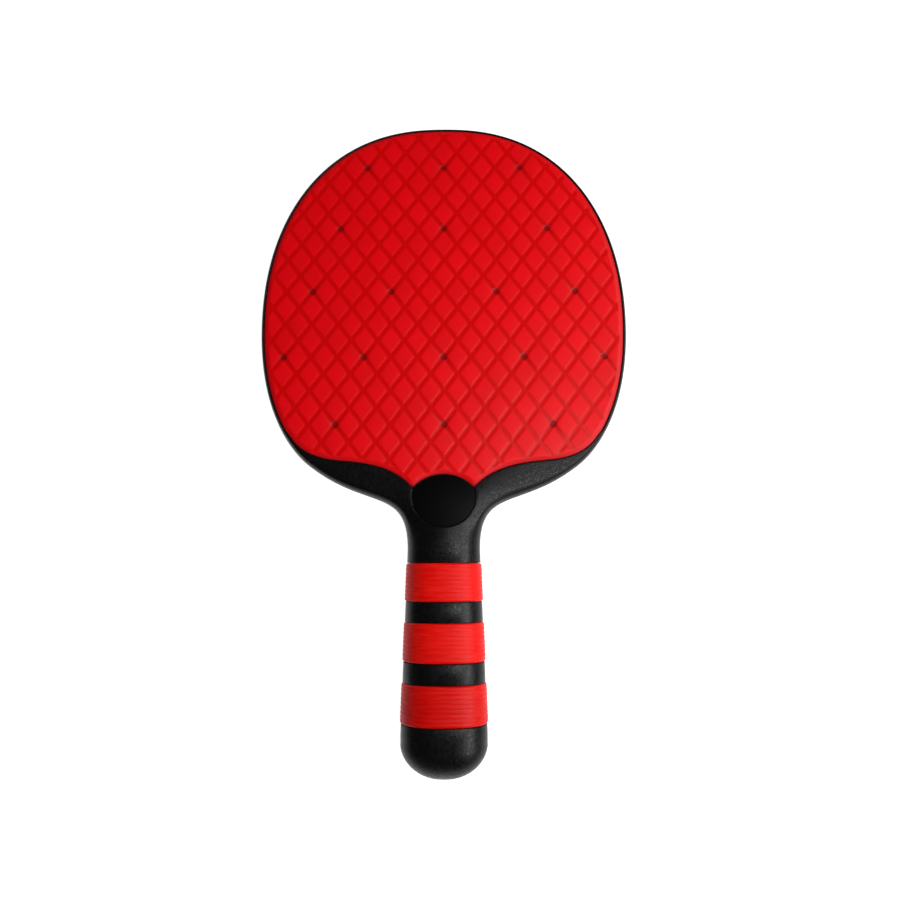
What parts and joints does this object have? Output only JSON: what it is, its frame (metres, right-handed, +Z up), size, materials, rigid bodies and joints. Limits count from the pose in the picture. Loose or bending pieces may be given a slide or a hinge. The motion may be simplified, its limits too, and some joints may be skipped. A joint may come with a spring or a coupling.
{
  "type": "table tennis racket",
  "caption": "Weatherproof table tennis racket: black moulded shells, red diamond-grooved pads, and ribbed red bands round a hollow straight grip.",
  "frame": {"origin": "centre of the bounding box's bottom: the racket lies on its rear face with the floor at z = 0", "axes": "+X across the blade, +Y from the butt of the grip to the top of the head, +Z up, out of the front face but for the 1.8 degrees it leans when it lies at rest"},
  "size_m": [0.1506, 0.2644, 0.0241],
  "materials": {
    "black_shell": "fine satin texture",
    "red_pad": "smooth soft elastomer with diamond grooves",
    "red_band": "satin elastomer with fine ribs",
    "matt_badge": "flat matt black, bare"
  },
  "bodies": {
    "root": {"front_shell": "black_shell", "rear_shell": "black_shell", "front_pad": "red_pad", "rear_pad": "red_pad", "lower_grip_band": "red_band", "middle_grip_band": "red_band", "upper_grip_band": "red_band", "throat_badge": "matt_badge"}
  },
  "joints": []
}
